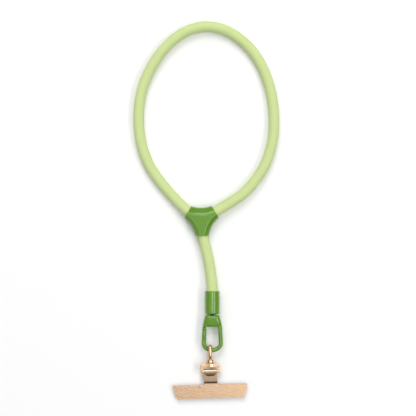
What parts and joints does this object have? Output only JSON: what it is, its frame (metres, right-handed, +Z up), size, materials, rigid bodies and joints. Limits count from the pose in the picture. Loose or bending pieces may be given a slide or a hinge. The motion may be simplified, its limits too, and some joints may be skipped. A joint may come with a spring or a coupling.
{
  "type": "phone wrist strap",
  "caption": "Padded cord wrist loop in a three-way joiner, with a stem, a ferrule, a swivel carabiner and a hinged metal patch that goes behind a phone in its case",
  "frame": {"origin": "on the surface that the strap lies on, under the middle of its hardware from the joiner to the patch", "axes": "X across the strap, Y along it from the patch up to the top of the loop, Z up from the surface"},
  "size_m": [0.1167, 0.3026, 0.0118],
  "materials": {
    "cord": "finely braided light green cover over a soft core",
    "joiner_lacquer": "moulded plastic with a glossy green lacquer",
    "metal_lacquer": "cast metal with a glossy green lacquer",
    "dark_steel": "blackened pins",
    "rose_gold_cast": "polished, rose gold plated",
    "rose_gold_sheet": "brushed along its length, rose gold plated"
  },
  "bodies": {
    "strap": {"wrist_loop": "cord", "y_joiner": "joiner_lacquer", "stem_cord": "cord", "ferrule": "metal_lacquer"},
    "carabiner": {"carabiner_body": "metal_lacquer", "swivel_stud": "dark_steel", "gate_pin": "dark_steel", "swivel_eye": "rose_gold_cast"},
    "gate": {"carabiner_gate": "metal_lacquer"},
    "frame": {"hinge_frame": "rose_gold_cast", "hinge_pin": "rose_gold_cast"},
    "patch": {"patch_plate": "rose_gold_sheet"}
  },
  "joints": [
    {"name": "carabiner_swivel", "type": "hinge", "parent": "strap", "child": "carabiner", "pos_m": [0.0015, -0.0099, 0.0059], "axis": [0, 1, 0], "continuous": true},
    {"name": "gate_hinge", "type": "hinge", "parent": "carabiner", "child": "gate", "pos_m": [-0.00485, -0.0196, 0.0059], "axis": [0, 0, 1], "range_deg": [0, 28], "stiffness_Nm_per_rad": 0.02, "springref_deg": -17.19},
    {"name": "frame_swivel", "type": "hinge", "parent": "carabiner", "child": "frame", "pos_m": [-0.00016, -0.0484, 0.0059], "axis": [0, 1, 0], "continuous": true},
    {"name": "plate_hinge", "type": "hinge", "parent": "frame", "child": "patch", "pos_m": [-0.00016, -0.0544, 0.0059], "axis": [1, 0, 0], "range_deg": [-110, 90]}
  ]
}
